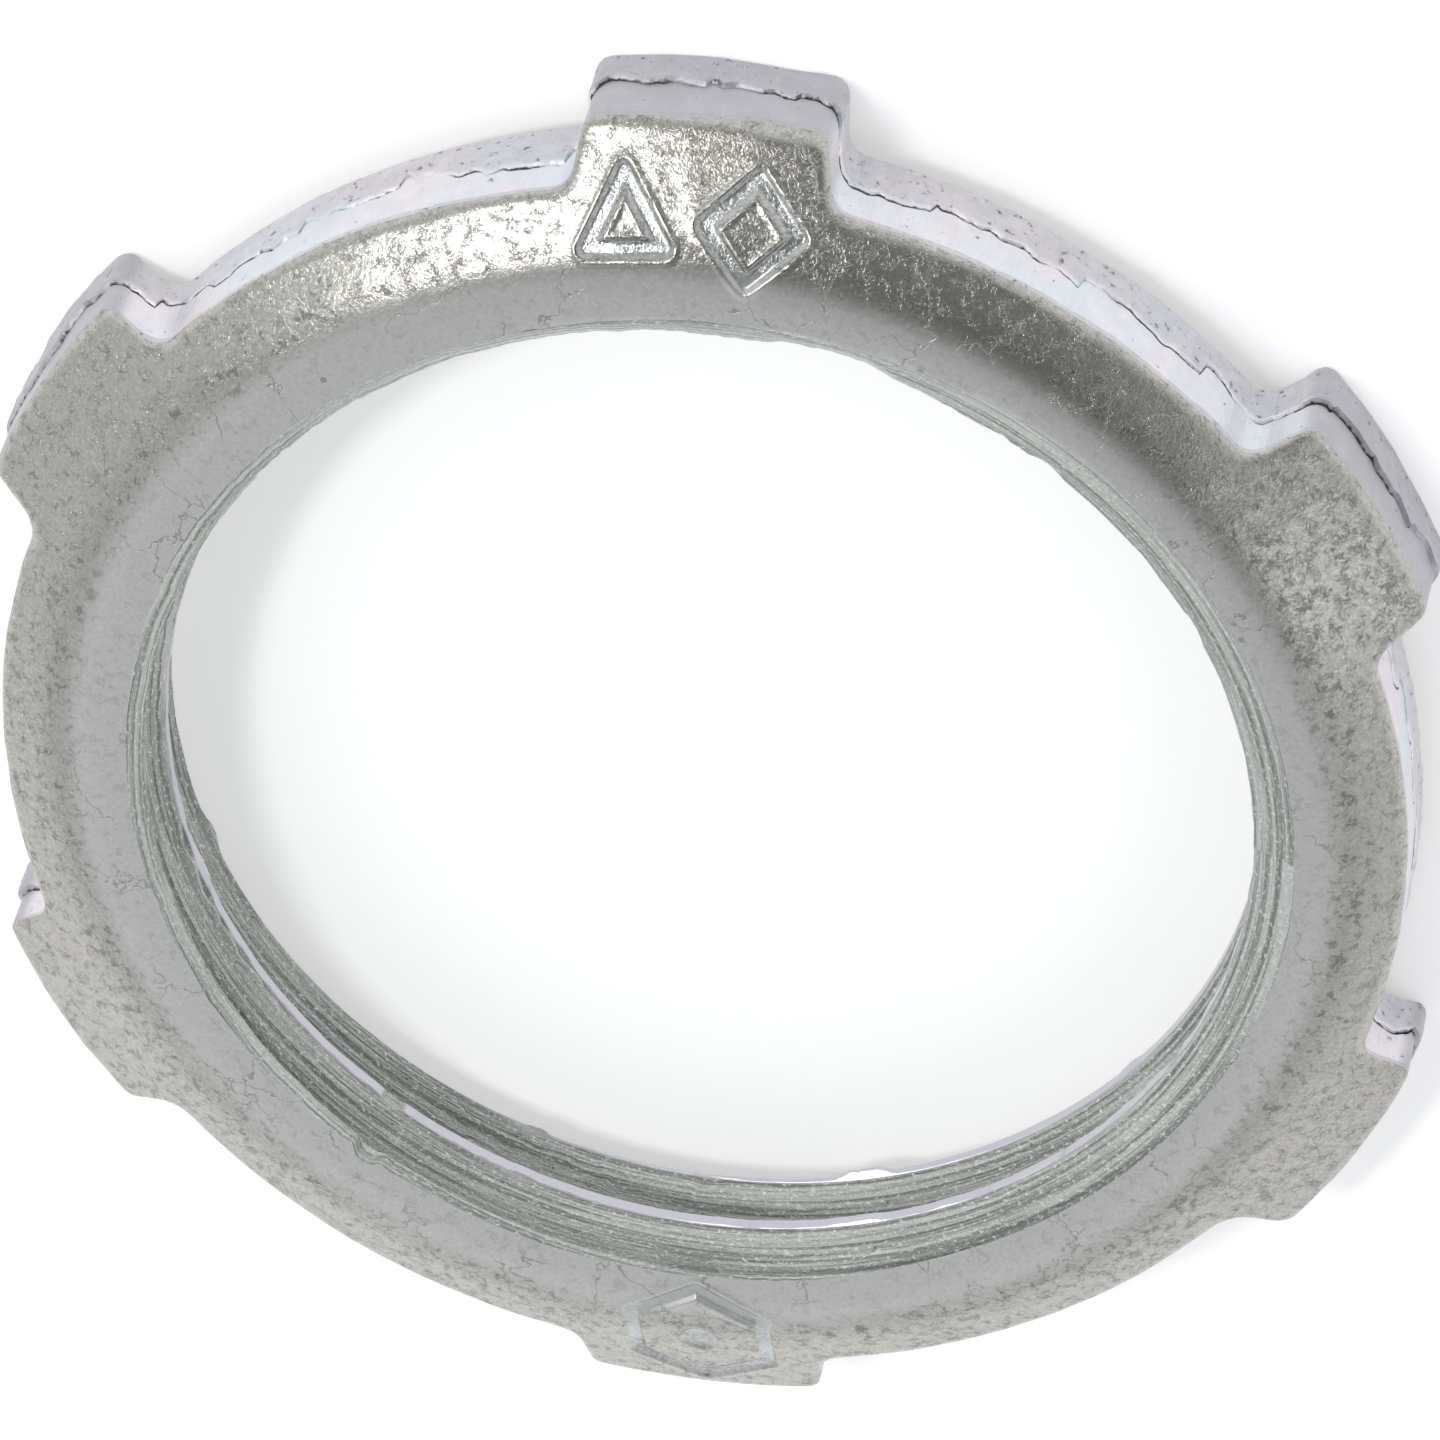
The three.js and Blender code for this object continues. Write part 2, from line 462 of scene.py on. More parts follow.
def makeRing():
    bm = bmesh.new()
    rowOf = bm.verts.layers.int.new("row")
    behind = bm.verts.layers.float.new("behindCrack")
    rim = bm.verts.layers.float.new("rim")
    section = []
    firstColumn = makeColumn(0)
    for row in range(len(rows)):
        place = placeOnSection(row, firstColumn)[0]
        vert = bm.verts.new(place)
        vert[rowOf] = row
        section.append(vert)
    for i, vert in enumerate(section):
        bm.edges.new((vert, section[(i + 1) % len(section)]))
    bmesh.ops.spin(bm, geom=bm.verts[:] + bm.edges[:], cent=(0, 0, 0), axis=(0, 0, 1), dvec=(0, 0, 0),
                   angle=2 * math.pi, steps=nut["columns"], use_merge=True)
    columns = [makeColumn(i) for i in range(nut["columns"])]
    startAngles = [math.atan2(vert.co.y, vert.co.x) for vert in section]
    for vert in bm.verts:
        turned = (math.atan2(vert.co.y, vert.co.x) - startAngles[vert[rowOf]]) / (2 * math.pi) % 1
        column = round(turned * nut["columns"]) % nut["columns"]
        vert.co, vert[behind], vert[rim] = placeOnSection(vert[rowOf], columns[column])
    for face in bm.faces:
        found = sorted({vert[rowOf] for vert in face.verts})
        row = found[1] if found != [0, len(rows) - 1] else 0
        face.material_index = zoneMaterial.get(rows[row][0], zincFace)
    bmesh.ops.recalc_face_normals(bm, faces=bm.faces[:])
    return bm


thread = {
    "pitch": 25.4 / 11.5,
    "depth": 1.3,
    "crest": 0.17,  # share of the pitch left flat between grooves
    "grooveHeight": 1.75,  # where the groove's middle crosses the +X axis
    "flankRows": 5,
    "stepsPerTurn": 360,
    "chatter": 0.06,  # depth of the blocks that the tap tore out
    "brokenFrom": -25,  # the crest is chipped between these angles
    "brokenTo": 48,
}


# The shape that the tap clears: a V wound up a right-hand helix, with torn flanks.
def makeGroove():
    pitch = thread["pitch"]
    slope = math.tan(math.radians(30))
    mouth = pitch * (1 - thread["crest"]) / 2
    inset = 0.2  # the V starts a little inside the bore wall
    inner, outer = nut["boreRadius"] - inset, nut["boreRadius"] + thread["depth"]
    start = thread["grooveHeight"] - pitch
    turns = (nut["frontHeight"] + pitch / 2 - start) / pitch
    count = thread["flankRows"]
    lower = []
    for i in range(count + 1):
        radius = inner + (outer - inner) * i / count
        lower.append((radius, -(mouth - (radius - nut["boreRadius"]) * slope)))
    corners = lower + [(radius, -z) for radius, z in reversed(lower)]
    bm = bmesh.new()
    cornerOf = bm.verts.layers.int.new("corner")
    verts = []
    for i, (radius, z) in enumerate(corners):
        vert = bm.verts.new((radius * mm, 0, (start + z) * mm))
        vert[cornerOf] = i
        verts.append(vert)
    bm.faces.new(verts)
    steps = round(turns * thread["stepsPerTurn"])
    bmesh.ops.spin(bm, geom=bm.verts[:] + bm.edges[:] + bm.faces[:], cent=(0, 0, 0), axis=(0, 0, 1),
                   dvec=(0, 0, pitch * turns / steps * mm), angle=2 * math.pi * turns, steps=steps)
    brokenFrom, brokenTo = math.radians(thread["brokenFrom"]), math.radians(thread["brokenTo"])
    for vert in bm.verts:
        radius, z = corners[vert[cornerOf]]
        wound = (vert.co.z / mm - z - start) / pitch * 2 * math.pi
        arc = wound * radius
        depthShare = (radius - nut["boreRadius"]) / thread["depth"]
        side = 1 if z > 0 else -1
        blocks = noise.cell(Vector((arc / 0.7 + 7.3 * side, depthShare * 3.4 + side, wound // 6)))
        torn = smoothStep(0.1, 0.5, rough((arc, side), 9, 5)) * smoothStep(0.45, 0.9, blocks)
        ripple = 0.015 * rough((arc * 0.4, depthShare * 9), 1, side)
        angle = (wound + math.pi) % (2 * math.pi) - math.pi
        broken = smoothStep(brokenFrom - 0.15, brokenFrom + 0.15, angle) * (
            1 - smoothStep(brokenTo - 0.15, brokenTo + 0.15, angle))
        chip = (0.005 + 0.16 * broken) * max(0, rough((arc, side), 0.8, 8) + 0.12)
        chip += 0.12 * max(0, rough((arc, side), 1.3, 9) - 0.5)
        nearCrest = 1 - smoothStep(0, 0.35, depthShare)
        flat = Vector((vert.co.x, vert.co.y)).normalized() * (
            radius + (thread["chatter"] * torn + ripple) * smoothStep(0.02, 0.2, depthShare))
        height = vert.co.z / mm + side * (chip * nearCrest + 0.5 * thread["chatter"] * torn)
        vert.co = Vector((flat.x, flat.y, height)) * mm
    for face in bm.faces:
        face.material_index = tappedThread
    bmesh.ops.recalc_face_normals(bm, faces=bm.faces[:])
    return bm


def objectFrom(bm, name, materials):
    mesh = bpy.data.meshes.new(name)
    bm.to_mesh(mesh)
    bm.free()
    for material in materials:
        mesh.materials.append(material)
    made = bpy.data.objects.new(name, mesh)
    bpy.context.scene.collection.objects.link(made)
    return made


def cutAway(piece, cutter):
    modifier = piece.modifiers.new("cut", "BOOLEAN")
    modifier.operation = "DIFFERENCE"
    modifier.solver = "MANIFOLD"
    modifier.object = cutter
    graph = bpy.context.evaluated_depsgraph_get()
    cut = bpy.data.meshes.new_from_object(piece.evaluated_get(graph))
    piece.modifiers.clear()
    piece.data = cut
    bpy.data.objects.remove(cutter)


# Plain workshop marks struck into two of the lugs: a triangle and a diamond, and a hexagon with a dot.
marks = {
    "triangle": {"angle": -83.6, "radius": 18.95, "size": 1.25, "corners": 3, "dot": 0},
    "diamond": {"angle": -94.2, "radius": 18.95, "size": 1.3, "corners": 4, "dot": 0},
    "hexagon": {"angle": 90, "radius": 18.9, "size": 2.2, "corners": 6, "dot": 0.55},
}
stroke = {
    "width": 0.42,
    "depth": 0.1,
    "margin": 0.5,  # the face is refined and struck this far round a mark
    "lowest": 2.5,  # points below this height belong to the back and aren't struck
}


def markFrame(mark):
    angle = math.radians(mark["angle"])
    out = Vector((math.cos(angle), math.sin(angle)))
    return out * mark["radius"], out, Vector((-out.y, out.x))


# How far a point is from a mark's line, in mm.
def distanceToMark(mark, flat):
    centre, out, across = markFrame(mark)
    local = Vector(((flat - centre).dot(across), (flat - centre).dot(out)))
    distance = farOff
    for i in range(mark["corners"]):
        ends = []
        for turn in (i, i + 1):
            corner = math.pi / 2 + 2 * math.pi * turn / mark["corners"]
            ends.append(Vector((math.cos(corner), math.sin(corner))) * mark["size"])
        along = ends[1] - ends[0]
        t = min(max((local - ends[0]).dot(along) / along.length_squared, 0), 1)
        distance = min(distance, (local - ends[0] - along * t).length)
    if mark["dot"]:
        distance = min(distance, max(0, local.length - mark["dot"] + stroke["width"] / 2))
    return distance


def strikeMarks(piece):
    bm = bmesh.new()
    bm.from_mesh(piece.data)
    struck = bm.verts.layers.float.new("struck")
    for mark in marks.values():
        centre = markFrame(mark)[0]
        reach = mark["size"] + stroke["margin"]
        edges = set()
        for face in bm.faces:
            middle = face.calc_center_median() / mm
            inReach = (middle.to_2d() - centre).length < reach
            if face.material_index == zincFace and face.normal.z > 0.3 and inReach:
                edges.update(face.edges)
        bmesh.ops.subdivide_edges(bm, edges=list(edges), cuts=2, use_grid_fill=True)
        for vert in bm.verts:
            flat = vert.co.to_2d() / mm
            if vert.co.z > stroke["lowest"] * mm and (flat - centre).length < reach:
                distance = distanceToMark(mark, flat)
                edge = distance - stroke["width"] / 2
                groove = 1 - smoothStep(-0.09, 0.07, edge)
                lip = 0.3 * math.exp(-((edge - 0.12) / 0.08) ** 2)
                worn = 1 + 0.35 * rough(flat, 0.9, 81)
                vert.co.z -= (groove - lip) * stroke["depth"] * worn * mm
                vert[struck] = max(vert[struck], groove)
    bm.to_mesh(piece.data)
    bm.free()


# The cut leaves slivers far thinner than any real feature; they would be stray faces in a mesh file.
# The second pass triangulates every face, so that no nearly flat one folds over a neighbour's edge.
def dropSlivers(piece, reach):
    bm = bmesh.new()
    bm.from_mesh(piece.data)
    for lastPass in (False, True):
        bmesh.ops.remove_doubles(bm, verts=bm.verts[:], dist=reach)
        bmesh.ops.dissolve_degenerate(bm, dist=reach, edges=bm.edges[:])
        faces = [face for face in bm.faces if lastPass or len(face.verts) > 4]
        bmesh.ops.triangulate(bm, faces=faces)
    bmesh.ops.recalc_face_normals(bm, faces=bm.faces[:])
    bm.to_mesh(piece.data)
    bm.free()


def shadeByAngle(piece, degrees):
    bm = bmesh.new()
    bm.from_mesh(piece.data)
    for face in bm.faces:
        face.smooth = True
    for edge in bm.edges:
        edge.smooth = len(edge.link_faces) == 2 and edge.calc_face_angle() < math.radians(degrees)
    bm.to_mesh(piece.data)
    bm.free()


# Bright zinc over coined steel: the plating follows the die, satin and even on the flat.
# On the cone the coining left a fine leathery skin, so the gloss breaks into sparkles.
zinc = {
    "flat": "#c4c3c1",
    "cone": "#b3b1ab",
    # dark colour of the veins, and of the speckles that thicken into painted shade in the bend
    "veinAndShade": "#85837d",
    "stain": "#a2a09a",
    # painted sheen: a pale lavender towards the rolled rim
    "rimSheen": "#c6c4cb",
    "struck": "#b8bbba",
    "coneStart": (17.4, 18.4),  # the skin of the flat turns into that of the cone
    "bendShadeEnd": (19.3, 18.1),  # painted shade: the bend is darkened and its speckles thicken, fading outwards
    "flatRoughness": 0.38,
    "coneRoughness": 0.17,
    "mottleSize": 0.36,  # mm
    "speckleSize": 0.12,
    "veinSize": 0.2,
    "grainSize": 0.13,  # the real grain is about 0.05 mm; drawn coarser so that it shows
    "hairlineSpacing": 2.6,
    "pitSpacing": 1.5,
}


# Object coordinates in mm, and the distance from the bore axis.
def coordinatesInMm(tree):
    coordinates = addNode(tree, "ShaderNodeTexCoord").outputs["Object"]
    place = addNode(tree, "ShaderNodeVectorMath", {"operation": "SCALE"},
                    {"Vector": coordinates, "Scale": 1000}).outputs["Vector"]
    flat = addNode(tree, "ShaderNodeVectorMath", {"operation": "MULTIPLY"}, {0: place, 1: (1, 1, 0)})
    radius = addNode(tree, "ShaderNodeVectorMath", {"operation": "LENGTH"}, {0: flat.outputs[0]})
    return place, radius.outputs["Value"]


def makeZincFace():
    material, tree = newMaterial("brightZincOverCoinedSteel")
    place, radius = coordinatesInMm(tree)
    cone = addNode(tree, "ShaderNodeMapRange", {"interpolation_type": "SMOOTHSTEP"},
                   {"Value": radius, "From Min": zinc["coneStart"][0],
                    "From Max": zinc["coneStart"][1]}).outputs[0]
    bendShadeBand = addNode(tree, "ShaderNodeMapRange", {"interpolation_type": "SMOOTHSTEP"},
                   {"Value": radius, "From Min": zinc["bendShadeEnd"][0],
                    "From Max": zinc["bendShadeEnd"][1]}).outputs[0]
    mottle = addNode(tree, "ShaderNodeTexNoise", inputs={
        "Vector": place, "Scale": 1 / zinc["mottleSize"], "Detail": 7, "Roughness": 0.66}).outputs[0]
    warp = addNode(tree, "ShaderNodeTexNoise", inputs={
        "Vector": place, "Scale": 1.4, "Detail": 4}).outputs["Color"]
    warped = addNode(tree, "ShaderNodeVectorMath", {"operation": "MULTIPLY_ADD"},
                     {0: warp, 1: (1.5, 1.5, 1.5), 2: place}).outputs[0]
    cells = addNode(tree, "ShaderNodeTexVoronoi", {"feature": "DISTANCE_TO_EDGE"},
                    {"Vector": warped, "Scale": 1 / zinc["veinSize"]}).outputs["Distance"]
    veins = addNode(tree, "ShaderNodeMapRange", {"interpolation_type": "SMOOTHSTEP"},
                    {"Value": cells, "From Min": 0.16, "From Max": 0.01}).outputs[0]
    patchy = addNode(tree, "ShaderNodeMapRange", {"interpolation_type": "SMOOTHSTEP"},
                     {"Value": mottle, "From Min": 0.42, "From Max": 0.66}).outputs[0]
    veinAmount = addNode(tree, "ShaderNodeMath", {"operation": "MULTIPLY"},
                         {0: veins, 1: patchy}).outputs[0]
    veinAmount = addNode(tree, "ShaderNodeMath", {"operation": "MULTIPLY"},
                         {0: veinAmount, 1: cone}).outputs[0]
    speckle = addNode(tree, "ShaderNodeTexNoise", inputs={
        "Vector": place, "Scale": 1 / zinc["speckleSize"], "Detail": 4, "Roughness": 0.7}).outputs[0]
    dirtAndBendShade = addNode(tree, "ShaderNodeMath", {"operation": "MULTIPLY"},
                   {0: speckle, 1: patchy}).outputs[0]
    dirtAndBendShade = addNode(tree, "ShaderNodeMapRange", {"interpolation_type": "SMOOTHSTEP"},
                   {"Value": dirtAndBendShade, "From Min": 0.28, "From Max": 0.46}).outputs[0]
    # Painted shade: the dark speckles thicken in the bend between flat and cone.
    bendShadeSpeckle = addNode(tree, "ShaderNodeMath", {"operation": "MULTIPLY"}, {0: bendShadeBand, 1: cone}).outputs[0]
    bendShadeSpeckle = addNode(tree, "ShaderNodeMath", {"operation": "MULTIPLY_ADD"},
                       {0: bendShadeSpeckle, 1: 0.6, 2: 0.35}).outputs[0]
    dirtAndBendShade = addNode(tree, "ShaderNodeMath", {"operation": "MULTIPLY"}, {0: dirtAndBendShade, 1: bendShadeSpeckle}).outputs[0]
    dirtAndShadeShare = addNode(tree, "ShaderNodeMapRange", inputs={"Value": cone, "To Min": 0.6}).outputs[0]
    dirtAndBendShade = addNode(tree, "ShaderNodeMath", {"operation": "MULTIPLY"},
                   {0: dirtAndBendShade, 1: dirtAndShadeShare}).outputs[0]
    # Hairline cracks of the plating: the edges of large bent cells, and only some of them.
    longCells = addNode(tree, "ShaderNodeTexVoronoi", {"feature": "DISTANCE_TO_EDGE"},
                        {"Vector": warped, "Scale": 1 / zinc["hairlineSpacing"]}).outputs["Distance"]
    hairline = addNode(tree, "ShaderNodeMapRange", {"interpolation_type": "SMOOTHSTEP"},
                       {"Value": longCells, "From Min": 0.014, "From Max": 0.004}).outputs[0]
    some = addNode(tree, "ShaderNodeTexNoise", inputs={
        "Vector": place, "Scale": 0.5, "Detail": 2}).outputs[0]
    some = addNode(tree, "ShaderNodeMapRange", {"interpolation_type": "SMOOTHSTEP"},
                   {"Value": some, "From Min": 0.4, "From Max": 0.54}).outputs[0]
    hairline = addNode(tree, "ShaderNodeMath", {"operation": "MULTIPLY"},
                       {0: hairline, 1: some}).outputs[0]
    spots = addNode(tree, "ShaderNodeTexVoronoi", {"feature": "F1"},
                    {"Vector": place, "Scale": 1 / zinc["pitSpacing"]})
    spotSize = addNode(tree, "ShaderNodeSeparateXYZ", inputs={
        "Vector": spots.outputs["Color"]}).outputs["X"]
    spotSize = addNode(tree, "ShaderNodeMapRange", inputs={
        "Value": spotSize, "From Min": 0.45, "From Max": 1, "To Max": 0.09}).outputs[0]
    pit = addNode(tree, "ShaderNodeMath", {"operation": "LESS_THAN"},
                  {0: spots.outputs["Distance"], 1: spotSize}).outputs[0]
    grain = addNode(tree, "ShaderNodeTexNoise", inputs={
        "Vector": place, "Scale": 1 / zinc["grainSize"], "Detail": 3, "Roughness": 0.7}).outputs[0]
    # Colour
    base = addNode(tree, "ShaderNodeMix", {"data_type": "RGBA"},
                   {0: cone, 6: linear(zinc["flat"]), 7: linear(zinc["cone"])}).outputs[2]
    base = addNode(tree, "ShaderNodeMix", {"data_type": "RGBA"},
                   {0: veinAmount, 6: base, 7: linear(zinc["veinAndShade"])}).outputs[2]
    base = addNode(tree, "ShaderNodeMix", {"data_type": "RGBA"},
                   {0: dirtAndBendShade, 6: base, 7: linear(zinc["veinAndShade"])}).outputs[2]
    base = addNode(tree, "ShaderNodeMix", {"data_type": "RGBA"},
                   {0: hairline, 6: base, 7: linear(zinc["stain"])}).outputs[2]
    base = addNode(tree, "ShaderNodeMix", {"data_type": "RGBA"},
                   {0: pit, 6: base, 7: linear(zinc["stain"])}).outputs[2]
    # Painted sheen: pale lavender speckles towards the rolled rim, on the cone only.
    rim = addNode(tree, "ShaderNodeAttribute", {"attribute_name": "rim"}).outputs["Fac"]
    rimSheen = addNode(tree, "ShaderNodeMath", {"operation": "MULTIPLY_ADD"},
                    {0: speckle, 1: 1.1, 2: rim}).outputs[0]
    rimSheen = addNode(tree, "ShaderNodeMapRange", {"interpolation_type": "SMOOTHSTEP"},
                    {"Value": rimSheen, "From Min": 1.55, "From Max": 1.85}).outputs[0]
    rimSheen = addNode(tree, "ShaderNodeMath", {"operation": "MULTIPLY"}, {0: rimSheen, 1: cone}).outputs[0]
    base = addNode(tree, "ShaderNodeMix", {"data_type": "RGBA"},
                   {0: rimSheen, 6: base, 7: linear(zinc["rimSheen"])}).outputs[2]
    struck = addNode(tree, "ShaderNodeAttribute", {"attribute_name": "struck"}).outputs["Fac"]
    base = addNode(tree, "ShaderNodeMix", {"data_type": "RGBA"},
                   {0: struck, 6: base, 7: linear(zinc["struck"])}).outputs[2]
    # The grain shows more on the cone, and the bend is darkened with painted shade.
    grainDepth = addNode(tree, "ShaderNodeMapRange", inputs={
        "Value": cone, "To Min": 0.4, "To Max": 0.75}).outputs[0]
    grainAndBendShade = addNode(tree, "ShaderNodeMath", {"operation": "SUBTRACT"},
                         {0: grain, 1: 0.5}).outputs[0]
    grainAndBendShade = addNode(tree, "ShaderNodeMath", {"operation": "MULTIPLY_ADD"},
                         {0: grainAndBendShade, 1: grainDepth, 2: 1}).outputs[0]
    # Painted shade: the bend between flat and cone is darkened by up to 16 per cent.
    paintedBendShade = addNode(tree, "ShaderNodeMath", {"operation": "MULTIPLY"},
                        {0: bendShadeBand, 1: cone}).outputs[0]
    grainAndBendShade = addNode(tree, "ShaderNodeMath", {"operation": "MULTIPLY_ADD"},
                         {0: paintedBendShade, 1: -0.16, 2: grainAndBendShade}).outputs[0]
    base = addNode(tree, "ShaderNodeVectorMath", {"operation": "SCALE"},
                   {"Vector": base, "Scale": grainAndBendShade}).outputs[0]
    # Relief, in mm
    skin = addNode(tree, "ShaderNodeMath", {"operation": "MULTIPLY"}, {0: grain, 1: 0.011}).outputs[0]
    skin = addNode(tree, "ShaderNodeMath", {"operation": "MULTIPLY_ADD"},
                   {0: mottle, 1: 0.012, 2: skin}).outputs[0]
    skin = addNode(tree, "ShaderNodeMath", {"operation": "MULTIPLY_ADD"},
                   {0: veinAmount, 1: -0.008, 2: skin}).outputs[0]
    coneShare = addNode(tree, "ShaderNodeMapRange", inputs={"Value": cone, "To Min": 0.1}).outputs[0]
    skin = addNode(tree, "ShaderNodeMath", {"operation": "MULTIPLY"},
                   {0: skin, 1: coneShare}).outputs[0]
    skin = addNode(tree, "ShaderNodeMath", {"operation": "MULTIPLY_ADD"},
                   {0: hairline, 1: -0.01, 2: skin}).outputs[0]
    skin = addNode(tree, "ShaderNodeMath", {"operation": "MULTIPLY_ADD"},
                   {0: pit, 1: -0.02, 2: skin}).outputs[0]
    relief = addNode(tree, "ShaderNodeBump", inputs={"Height": skin, "Strength": 1, "Distance": 0.001})
    gloss = addNode(tree, "ShaderNodeMapRange", inputs={
        "Value": cone, "To Min": zinc["flatRoughness"], "To Max": zinc["coneRoughness"]}).outputs[0]
    gloss = addNode(tree, "ShaderNodeMath", {"operation": "MULTIPLY_ADD"},
                    {0: patchy, 1: 0.07, 2: gloss}).outputs[0]
    finishMaterial(tree, addNode(tree, "ShaderNodeBsdfPrincipled", inputs={
        "Base Color": base, "Metallic": 1, "Roughness": gloss, "Normal": relief.outputs[0]}))
    return material


# Zinc over sheared steel: the burnished part is pale and nearly white, with faint streaks
# along the punch's stroke; behind the crack the metal tore, so it is dull and pitted.
wall = {
    "cool": "#dde1e7",
    "warm": "#e5e0e4",
    "torn": "#cbc8cd",
    "end": "#b0adb3",  # the lugs' ends rub on the die, so they are duller
    "speck": "#8c8688",
    # painted shadow: the dark line along the crack, where the crevice lies in shade
    "crack": "#4c4b44",
    "endStart": (20.9, 21.4),
    "burnishedRoughness": 0.42,
    "tornRoughness": 0.6,
}


def makeShearedWall():
    material, tree = newMaterial("zincOverShearedSteel")
    place, radius = coordinatesInMm(tree)
    behind = addNode(tree, "ShaderNodeAttribute", {"attribute_name": "behindCrack"}).outputs["Fac"]
    wander = addNode(tree, "ShaderNodeTexNoise", inputs={
        "Vector": place, "Scale": 5, "Detail": 3}).outputs[0]
    wander = addNode(tree, "ShaderNodeMath", {"operation": "MULTIPLY_ADD"},
                     {0: wander, 1: 0.12, 2: -0.06}).outputs[0]
    distance = addNode(tree, "ShaderNodeMath", {"operation": "ADD"}, {0: behind, 1: wander}).outputs[0]
    aside = addNode(tree, "ShaderNodeMath", {"operation": "ABSOLUTE"}, {0: distance}).outputs[0]
    # Painted shadow: a dark line along the crack, broken in places.
    crackShadow = addNode(tree, "ShaderNodeMapRange", {"interpolation_type": "SMOOTHSTEP"},
                   {"Value": aside, "From Min": 0.05, "From Max": 0.015}).outputs[0]
    gaps = addNode(tree, "ShaderNodeTexNoise", inputs={
        "Vector": place, "Scale": 0.45, "Detail": 2}).outputs[0]
    gaps = addNode(tree, "ShaderNodeMapRange", {"interpolation_type": "SMOOTHSTEP"},
                   {"Value": gaps, "From Min": 0.4, "From Max": 0.5}).outputs[0]
    crackShadow = addNode(tree, "ShaderNodeMath", {"operation": "MULTIPLY"}, {0: crackShadow, 1: gaps}).outputs[0]
    torn = addNode(tree, "ShaderNodeMapRange", {"interpolation_type": "SMOOTHSTEP"},
                   {"Value": distance, "From Min": 0, "From Max": 0.25}).outputs[0]
    tint = addNode(tree, "ShaderNodeTexNoise", inputs={
        "Vector": place, "Scale": 0.35, "Detail": 2}).outputs[0]
    tint = addNode(tree, "ShaderNodeMapRange", {"interpolation_type": "SMOOTHSTEP"},
                   {"Value": tint, "From Min": 0.4, "From Max": 0.6}).outputs[0]
    stretched = addNode(tree, "ShaderNodeMapping", inputs={
        "Vector": place, "Scale": (9, 9, 0.7)}).outputs[0]
    streaks = addNode(tree, "ShaderNodeTexNoise", inputs={
        "Vector": stretched, "Scale": 1, "Detail": 4, "Roughness": 0.7}).outputs[0]
    blotch = addNode(tree, "ShaderNodeTexNoise", inputs={
        "Vector": place, "Scale": 3.2, "Detail": 6, "Roughness": 0.7}).outputs[0]
    specks = addNode(tree, "ShaderNodeMath", {"operation": "MULTIPLY_ADD"},
                     {0: torn, 1: 0.05, 2: blotch}).outputs[0]
    specks = addNode(tree, "ShaderNodeMapRange", {"interpolation_type": "SMOOTHSTEP"},
                     {"Value": specks, "From Min": 0.648, "From Max": 0.7}).outputs[0]
    base = addNode(tree, "ShaderNodeMix", {"data_type": "RGBA"},
                   {0: tint, 6: linear(wall["cool"]), 7: linear(wall["warm"])}).outputs[2]
    tornAmount = addNode(tree, "ShaderNodeMath", {"operation": "MULTIPLY"},
                         {0: torn, 1: blotch}).outputs[0]
    onEnd = addNode(tree, "ShaderNodeMapRange", {"interpolation_type": "SMOOTHSTEP"},
                    {"Value": radius, "From Min": wall["endStart"][0],
                     "From Max": wall["endStart"][1], "To Max": 0.8}).outputs[0]
    base = addNode(tree, "ShaderNodeMix", {"data_type": "RGBA"},
                   {0: onEnd, 6: base, 7: linear(wall["end"])}).outputs[2]
    base = addNode(tree, "ShaderNodeMix", {"data_type": "RGBA"},
                   {0: tornAmount, 6: base, 7: linear(wall["torn"])}).outputs[2]
    base = addNode(tree, "ShaderNodeMix", {"data_type": "RGBA"},
                   {0: specks, 6: base, 7: linear(wall["speck"])}).outputs[2]
    base = addNode(tree, "ShaderNodeMix", {"data_type": "RGBA"},
                   {0: crackShadow, 6: base, 7: linear(wall["crack"])}).outputs[2]
    cloud = addNode(tree, "ShaderNodeTexNoise", inputs={
        "Vector": place, "Scale": 1.3, "Detail": 7, "Roughness": 0.75}).outputs[0]
    cloud = addNode(tree, "ShaderNodeMath", {"operation": "MULTIPLY_ADD"},
                    {0: cloud, 1: 0.34, 2: 0.83}).outputs[0]
    cloud = addNode(tree, "ShaderNodeMath", {"operation": "MULTIPLY_ADD"},
                    {0: streaks, 1: -0.12, 2: cloud}).outputs[0]
    cloud = addNode(tree, "ShaderNodeMath", {"operation": "ADD"}, {0: cloud, 1: 0.06}).outputs[0]
    base = addNode(tree, "ShaderNodeVectorMath", {"operation": "SCALE"},
                   {"Vector": base, "Scale": cloud}).outputs[0]
    skin = addNode(tree, "ShaderNodeMath", {"operation": "MULTIPLY"}, {0: streaks, 1: 0.02}).outputs[0]
    tornSkin = addNode(tree, "ShaderNodeMath", {"operation": "MULTIPLY"},
                       {0: tornAmount, 1: 0.12}).outputs[0]
    skin = addNode(tree, "ShaderNodeMath", {"operation": "ADD"}, {0: skin, 1: tornSkin}).outputs[0]
    skin = addNode(tree, "ShaderNodeMath", {"operation": "MULTIPLY_ADD"},
                   {0: specks, 1: -0.02, 2: skin}).outputs[0]
    relief = addNode(tree, "ShaderNodeBump", inputs={"Height": skin, "Strength": 1, "Distance": 0.001})
    gloss = addNode(tree, "ShaderNodeMapRange", inputs={
        "Value": torn, "To Min": wall["burnishedRoughness"], "To Max": wall["tornRoughness"]}).outputs[0]
    finishMaterial(tree, addNode(tree, "ShaderNodeBsdfPrincipled", inputs={
        "Base Color": base, "Metallic": 1, "Roughness": gloss, "Normal": relief.outputs[0]}))
    return material


# Zinc over tapped steel: fine lines run with the thread, in a cool grey with a hint of green,
# and the crests that the tap left are pale like the sheared wall.
tapped = {
    "flank": "#cfd2cd",
    "dark": "#757a75",
    "glint": "#fbfbf2",
    "chip": "#5c5a54",
    "crest": "#cfccd5",
    "crestEdge": (15.56, 15.51),  # radii between which flank turns into crest
    "lineSpacing": 0.1,  # mm between tool lines; drawn coarser than real so that they show
    "roughness": 0.32,
}


